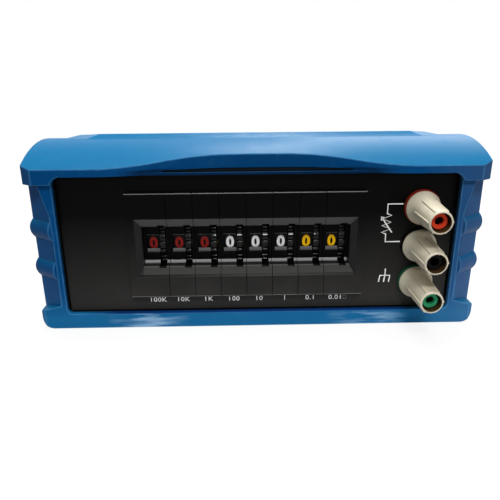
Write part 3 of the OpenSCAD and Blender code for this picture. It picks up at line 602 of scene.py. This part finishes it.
def rounded_copy(node, radius, wanted=anywhere):
    """A copy of a CAD node with its wanted outer edges rounded, shown in the node's place."""
    source = frame["nodes"][node]
    shape = bmesh.new()
    shape.from_mesh(source.data)
    bmesh.ops.remove_doubles(shape, verts=shape.verts, dist=WELD)
    bmesh.ops.dissolve_limit(shape, angle_limit=FLAT, verts=shape.verts, edges=shape.edges)
    edge = shape.faces.layers.float.new("edge")
    lean = shape.faces.layers.float.new("lean")
    bore = shape.faces.layers.float.new("bore")
    middle = sum(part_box(node), Vector()) / 2
    for face in shape.faces:
        face[lean] = float(LEAN[0] < -face.normal.y < LEAN[1])
        out = face.calc_center_median() - middle
        out.y = 0
        face[bore] = float(out.dot(face.normal) < INWARD * out.length)
    done = bmesh.ops.bevel(shape, geom=outer_edges(shape, wanted), offset=radius, offset_type="OFFSET",
                           segments=ROUND_STEPS, profile=ROUND_PROFILE, affect="EDGES",
                           clamp_overlap=False, loop_slide=True)
    for face in done["faces"]:
        face[edge] = 1.0
    bmesh.ops.recalc_face_normals(shape, faces=shape.faces)
    mesh = bpy.data.meshes.new(node + "_rounded")
    shape.to_mesh(mesh)
    shape.free()
    if "custom_normal" in mesh.attributes:
        mesh.attributes.remove(mesh.attributes["custom_normal"])
    mesh.shade_smooth()
    mesh.set_sharp_from_angle(angle=CREASE)
    mesh = remade(mesh, "WEIGHTED_NORMAL", {"weight": NORMAL_WEIGHT, "keep_sharp": True})
    slot = SLOT_OF[node]
    piece = new_piece(node + "_rounded", mesh, source["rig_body"], slot)
    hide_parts(node)


BOOT_ROUND = 0.5 * MM
BANK_ROUND = 0.3 * MM
WHEEL_ROUND = 0.45 * MM
CAP_ROUND = 0.1 * MM
COLLAR_ROUND = 0.25 * MM
SLEEVE_ROUND = 0.12 * MM
rounded_copy("rubber_boot", BOOT_ROUND, off_sill)
for name in ("end_cheek_left", "end_cheek_right"):
    rounded_copy(name, BANK_ROUND, rims)
for i in DECADES:
    rounded_copy(f"switch_housing_{i}", BANK_ROUND, rims)
    rounded_copy(f"digit_wheel_{i}", WHEEL_ROUND)
for name in POSTS:
    rounded_copy(f"{name}_cap", CAP_ROUND)
    rounded_copy(f"{name}_collar", COLLAR_ROUND)
    rounded_copy(f"{name}_sleeve", SLEEVE_ROUND)


# Printing

INK_FILM = 0.03 * MM
INK_WELD = 0.1 * INK_FILM
HALF_SLAB = 0.5
LETTER_STEPS = 5
WOUND_STEPS = 2


def lettering(text, height, bold, squeeze=1.0, spacing=1.0):
    """A thin slab of lettering in the XZ plane, centred on the origin, its face towards -Y."""
    curve = bpy.data.curves.new("lettering", "FONT")
    curve.body = text
    curve.align_x = "CENTER"
    curve.offset = bold
    curve.space_character = spacing
    curve.extrude = HALF_SLAB
    curve.resolution_u = LETTER_STEPS
    holder = bpy.data.objects.new("lettering", curve)
    bpy.context.scene.collection.objects.link(holder)
    mesh = plain_mesh(holder)
    bpy.data.objects.remove(holder)
    bpy.data.curves.remove(curve)
    lows = [min(v.co[k] for v in mesh.vertices) for k in range(2)]
    highs = [max(v.co[k] for v in mesh.vertices) for k in range(2)]
    scale = height / (highs[1] - lows[1])
    centred = Matrix.Translation((-(lows[0] + highs[0]) / 2, -(lows[1] + highs[1]) / 2, HALF_SLAB))
    mesh.transform(Matrix.Diagonal((scale * squeeze, scale, INK_FILM, 1)) @ centred)
    mesh.transform(UPRIGHT)
    return mesh


def joined(meshes):
    """One welded mesh from several, each given with the place of its origin."""
    shape = bmesh.new()
    for mesh, place in meshes:
        mesh.transform(Matrix.Translation(place))
        shape.from_mesh(mesh)
        bpy.data.meshes.remove(mesh)
    bmesh.ops.remove_doubles(shape, verts=shape.verts, dist=INK_WELD)
    bmesh.ops.recalc_face_normals(shape, faces=shape.faces)
    out = bpy.data.meshes.new("joined")
    shape.to_mesh(out)
    shape.free()
    return out


def geometry_tree(name, sizes):
    """A Geometry Nodes tree with one mesh in and out, named sizes and a material input."""
    tree = bpy.data.node_groups.new(name, "GeometryNodeTree")
    tree.interface.new_socket("Geometry", in_out="INPUT", socket_type="NodeSocketGeometry")
    for size in sizes:
        tree.interface.new_socket(size, in_out="INPUT", socket_type="NodeSocketFloat")
    tree.interface.new_socket("Material", in_out="INPUT", socket_type="NodeSocketMaterial")
    tree.interface.new_socket("Geometry", in_out="OUTPUT", socket_type="NodeSocketGeometry")
    graph = Graph(tree)
    given = tree.nodes.new("NodeGroupInput")
    inputs = {socket.name: Signal(graph, socket) for socket in given.outputs if socket.name}
    return graph, inputs


def close_tree(graph, inputs, geometry):
    """Ends a tree: instances made real, and the material set."""
    real = graph.node("GeometryNodeRealizeInstances", {}, {0: geometry})
    painted = graph.node("GeometryNodeSetMaterial", {}, {"Geometry": real, "Material": inputs["Material"]})
    ending = graph.tree.nodes.new("NodeGroupOutput")
    graph.put(ending.inputs[0], painted)
    return graph.tree


def shaped(mesh, tree, values):
    """The plain mesh that a tree makes of another mesh."""
    settings = {"node_group": tree}
    for item in tree.interface.items_tree:
        if item.in_out == "INPUT" and item.name in values:
            settings[item.identifier] = values[item.name]
    return remade(mesh, "NODES", settings)


def drum_wrap_tree():
    """Winds a flat strip round a drum: the strip's height runs along the drum's turn."""
    graph, inputs = geometry_tree("wind_round_drum", ("Drum radius", "Axle Y", "Axle Z"))
    fine = graph.node("GeometryNodeSubdivideMesh", {}, {0: inputs["Geometry"], "Level": WOUND_STEPS})
    place = graph.node("GeometryNodeInputPosition")
    x, y, z = (graph.node("ShaderNodeSeparateXYZ", {}, {0: place}, k) for k in range(3))
    turn = z / inputs["Drum radius"]
    reach = inputs["Drum radius"] - y
    wound = graph.node("ShaderNodeCombineXYZ", {}, {
        0: x,
        1: inputs["Axle Y"] - reach * graph.maths("COSINE", turn),
        2: inputs["Axle Z"] + reach * graph.maths("SINE", turn),
    })
    strip = graph.node("GeometryNodeSetPosition", {}, {0: fine, "Position": wound})
    return close_tree(graph, inputs, strip)


def line_tree():
    """Turns lines drawn in the XY plane into printed strips of one width."""
    graph, inputs = geometry_tree("printed_line", ("Line width", "Film"))
    path = graph.node("GeometryNodeMeshToCurve", {}, {0: inputs["Geometry"]})
    level = graph.node("GeometryNodeSetCurveNormal", {"mode": "Z_UP"}, {0: path})
    profile = graph.node("GeometryNodeCurvePrimitiveQuadrilateral", {},
                         {"Width": inputs["Line width"], "Height": inputs["Film"]})
    strip = graph.node("GeometryNodeCurveToMesh", {}, {0: level, 1: profile, "Fill Caps": True})
    return close_tree(graph, inputs, strip)


def drum_radius(i, axle):
    """Radius of a digit drum, from the ring of its left-hand face."""
    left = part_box(f"digit_wheel_{i}")[0].x
    ring = [v.co for v in frame["nodes"][f"digit_wheel_{i}"].data.vertices if v.co.x < left + WELD]
    return max(math.hypot(p.y - axle.y, p.z - axle.z) for p in ring)


# Ten digits round each drum
DIGIT_H = 6.3 * MM
DIGIT_SQUEEZE = 0.95
DIGIT_BOLD = 0.045
DIGIT_LIFT = -0.3 * MM
DIGIT_COUNT = 10
DRUM_W = 6.4 * MM
wrap = drum_wrap_tree()
for i in DECADES:
    axle = AXLES[f"wheel_{i}"]
    radius = drum_radius(i, axle)
    step = 2 * math.pi * radius / DIGIT_COUNT
    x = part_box(f"digit_wheel_{i}")[0].x + DRUM_W / 2
    figures = [lettering(str(k), DIGIT_H, DIGIT_BOLD, DIGIT_SQUEEZE) for k in range(DIGIT_COUNT)]
    strip = joined([(figure, (x, 0, DIGIT_LIFT - k * step)) for k, figure in enumerate(figures)])
    ink_name = DIGIT_INKS[i - 1]
    digits = shaped(strip, wrap, {"Drum radius": radius, "Axle Y": axle.y, "Axle Z": axle.z,
                                  "Material": MATERIALS[ink_name]})
    new_piece(f"digits_{i}", digits, f"wheel_{i}", ink_name)

# Values under the decades, and the unit beside the last one
PANEL_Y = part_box("front_panel")[0].y
LABEL_H = 2.35 * MM
LABEL_Z = 13.25 * MM
LABEL_BOLD = 0.0
LABEL_SPACING = 1.08
LABEL_STRETCH = 1.15
UNIT_INSET = 1.2 * MM
for i, value in zip(DECADES, DECADE_VALUES):
    low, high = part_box(f"switch_housing_{i}")
    word = lettering(value, LABEL_H, LABEL_BOLD, LABEL_STRETCH, LABEL_SPACING)
    label = joined([(word, ((low.x + high.x) / 2, PANEL_Y, LABEL_Z))])
    new_piece(f"value_label_{i}", label, "root", "label_ink")
unit_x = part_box("switch_housing_8")[1].x - UNIT_INSET
unit = joined([(lettering("Ω", LABEL_H, LABEL_BOLD), (unit_x, PANEL_Y, LABEL_Z))])
new_piece("unit_label", unit, "root", "faint_ink")

# Variable resistor between the upper two posts, and a chassis earth beside the lowest one, drawn in mm.
# The ends of the arrow's lines are given as mm beside the middle and zigzag steps below the top.
SYMBOL_X = 62.3
TERMINAL_X = 69.6
LEAD_RISE = 1.4
ZIG = 2.2
ZIG_COUNT = 6
ZIG_DROP = 3.4
ZIG_CLEAR = 5.4
ARROW_TAIL = (2.9, 5.6)
ARROW_TIP = (-2.7, 0.9)
ARROW_BARBS = ((-2.6, 2.0), (-1.2, 1.2))
EARTH_X = 1.3
EARTH_HALF = 2.5
EARTH_TOP = 6.2
EARTH_BAR = 2.6
EARTH_FOOT = -1.0
LEG_LEAN = -0.5
LINE_W = 0.62 * MM
collars = [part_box(f"{post}_collar") for post in POSTS]
red_z, black_z, green_z = ((low.z + high.z) / 2 / MM for low, high in collars)
zig_top = red_z - ZIG_DROP
zig_step = (zig_top - black_z - ZIG_CLEAR) / ZIG_COUNT


def zig_point(aside, steps):
    """A point of the resistor's sign, that far beside its middle and that many steps below its top."""
    return (SYMBOL_X + aside, zig_top - steps * zig_step)


def earth_point(aside, height):
    """A point of the earth sign, that far beside its stem and above the lowest post's middle."""
    return (SYMBOL_X + EARTH_X + aside, green_z + height)


zigzag = [zig_point(ZIG if k % 2 else -ZIG, k - 0.5) for k in range(1, ZIG_COUNT + 1)]
arrow_tip = zig_point(*ARROW_TIP)
left_barb, right_barb = (zig_point(*end) for end in ARROW_BARBS)
legs = {aside: (earth_point(aside, EARTH_BAR), earth_point(aside + LEG_LEAN, EARTH_FOOT))
        for aside in (-EARTH_HALF, 0, EARTH_HALF)}
SYMBOLS = {
    "resistor_sign": [
        [(TERMINAL_X, red_z + LEAD_RISE), (SYMBOL_X, red_z + LEAD_RISE), zig_point(0, 0), *zigzag,
         zig_point(0, ZIG_COUNT), (SYMBOL_X, black_z + LEAD_RISE), (TERMINAL_X, black_z + LEAD_RISE)],
        [zig_point(*ARROW_TAIL), arrow_tip],
        [left_barb, arrow_tip, right_barb],
    ],
    "earth_sign": [
        [earth_point(0, EARTH_TOP), *legs[0]],
        [*reversed(legs[-EARTH_HALF]), *legs[EARTH_HALF]],
    ],
}
lines = line_tree()
for name, runs in SYMBOLS.items():
    points = []
    edges = []
    for run in runs:
        start = len(points)
        points += [(x * MM, z * MM, 0) for x, z in run]
        edges += [(start + k, start + k + 1) for k in range(len(run) - 1)]
    drawn = bpy.data.meshes.new(name)
    drawn.from_pydata(points, edges, [])
    sign = shaped(drawn, lines, {"Line width": LINE_W, "Film": INK_FILM, "Material": MATERIALS["label_ink"]})
    sign.transform(Matrix.Translation((0, PANEL_Y - INK_FILM / 2, 0)) @ UPRIGHT)
    new_piece(name, sign, "root", "label_ink")


# Stage, light and camera

WORLD_LIGHT = 0.04
FLOOR_HALF = 6.0
FLOOR_GLOW = 0.86
FLOOR_ROUGHNESS = 0.8
PALE_SHIFT = 0.03
PALE_BESIDE = (0.1, 0.01)
PALE_AHEAD = (0.11, 0.03)
WHITE_OUT = (0.08, 0.4)

# Each lamp's place, what it is aimed at, its two sides and its watts
LAMPS = {
    "top_softbox": ((0, 0.1, 1.0), (0, 0, 0), (0.8, 0.7), 12.5),
    "back_window": ((0.06, 0.82, 0.92), (0, 0, 0.08), (0.26, 0.42), 8),
    "right_window": ((0.45, 1.0, 0.6), (0, 0, 0.08), (0.7, 0.6), 5),
    "front_softbox": ((0.08, -0.7, 0.92), (0, -0.04, 0.04), (0.32, 0.22), 7.3),
    "low_window": ((0.04, -0.95, 0.31), (0, -0.04, 0.04), (0.2, 0.05), 2),
}


def seen_rays(graph):
    """1 for what the camera sees by itself, in gloss or through glass."""
    camera, glossy, through = (graph.node("ShaderNodeLightPath", output=f"Is {kind} Ray")
                               for kind in ("Camera", "Glossy", "Transmission"))
    return camera.larger(glossy.larger(through))


def white_world():
    """Even pale light, seen as white by the camera and by gloss."""
    world = bpy.data.worlds.new("studio")
    bpy.context.scene.world = world
    world.use_nodes = True
    graph = Graph(world.node_tree)
    sky = world.node_tree.nodes["Background"]
    graph.put(sky.inputs["Color"], (1, 1, 1, 1))
    graph.put(sky.inputs["Strength"], WORLD_LIGHT + (1 - WORLD_LIGHT) * seen_rays(graph))


def floor():
    """A wide floor, seen as white, that keeps a soft shadow; pale close to the box as a painted pool of
    light, for what the box reflects and is lit by.
    """
    mesh = bpy.data.meshes.new("floor")
    corners = [(FLOOR_HALF * x, FLOOR_HALF * y, 0) for x, y in ((-1, -1), (1, -1), (1, 1), (-1, 1))]
    mesh.from_pydata(corners, [], [(0, 1, 2, 3)])
    piece = bpy.data.objects.new("floor", mesh)
    bpy.context.scene.collection.objects.link(piece)
    finish = Finish("floor")
    x, y = (finish.part(finish.place, axis) for axis in "XY")
    beside = abs(x - PALE_SHIFT) - cad_box[1][0]
    ahead = abs(y) - cad_box[1][1]
    seen = seen_rays(finish)
    # Pale close to the box and dark further off, for all but the camera: a painted pool of light.
    near = finish.fade(beside, PALE_BESIDE) * finish.fade(ahead, PALE_AHEAD)
    colour = finish.shades(near.larger(seen), "#202020", "#F0F0F0")
    finish.surface(colour, FLOOR_ROUGHNESS, Specular_IOR_Level=0.0)
    white = FLOOR_GLOW + (1 - FLOOR_GLOW) * finish.fade(beside.larger(ahead), WHITE_OUT)
    glow = finish.node("ShaderNodeEmission", {}, {"Color": (1, 1, 1, 1), "Strength": 1.0})
    lit = Signal(finish, finish.shader.outputs[0])
    both = finish.node("ShaderNodeMixShader", {}, {0: seen * white, 1: lit, 2: glow})
    finish.put(finish.tree.nodes["Material Output"].inputs["Surface"], both)
    mesh.materials.append(finish.material)


def lamp(name, place, aim, sides, watts):
    """A rectangular lamp that faces its aim."""
    data = bpy.data.lights.new(name, "AREA")
    data.shape = "RECTANGLE"
    data.size, data.size_y = sides
    data.energy = watts
    piece = bpy.data.objects.new(name, data)
    bpy.context.scene.collection.objects.link(piece)
    place = Vector(place)
    turned = (Vector(aim) - place).to_track_quat("-Z", "Y").to_matrix().to_4x4()
    piece.matrix_world = Matrix.Translation(place) @ turned


white_world()
floor()
for name, setting in LAMPS.items():
    lamp(name, *setting)

# The camera stands in front of the box, a little higher than its top, and looks down on the panel
CAMERA_PLACE = Vector((-8.34, -295.73, 129.85)) * MM
CAMERA_PITCH = math.radians(-20.0)
CAMERA_YAW = math.radians(-1.02)
CAMERA_ROLL = math.radians(0.46)
IMAGE_SIDE = 500
FOCAL_PIXELS = 541.11
SENSOR_WIDTH = 36
NEAR_CLIP = 10 * MM
camera = bpy.data.objects.new("camera", bpy.data.cameras.new("camera"))
bpy.context.scene.collection.objects.link(camera)
camera.data.sensor_width = SENSOR_WIDTH
camera.data.lens = FOCAL_PIXELS / IMAGE_SIDE * SENSOR_WIDTH
camera.data.clip_start = NEAR_CLIP
turned = Matrix.Rotation(CAMERA_YAW, 4, "Z") @ Matrix.Rotation(CAMERA_PITCH, 4, "X")
turned = turned @ Matrix.Rotation(CAMERA_ROLL, 4, "Y") @ UPRIGHT
camera.matrix_world = Matrix.Translation(CAMERA_PLACE) @ turned
bpy.context.scene.camera = camera
bpy.context.scene.view_settings.view_transform = "Standard"
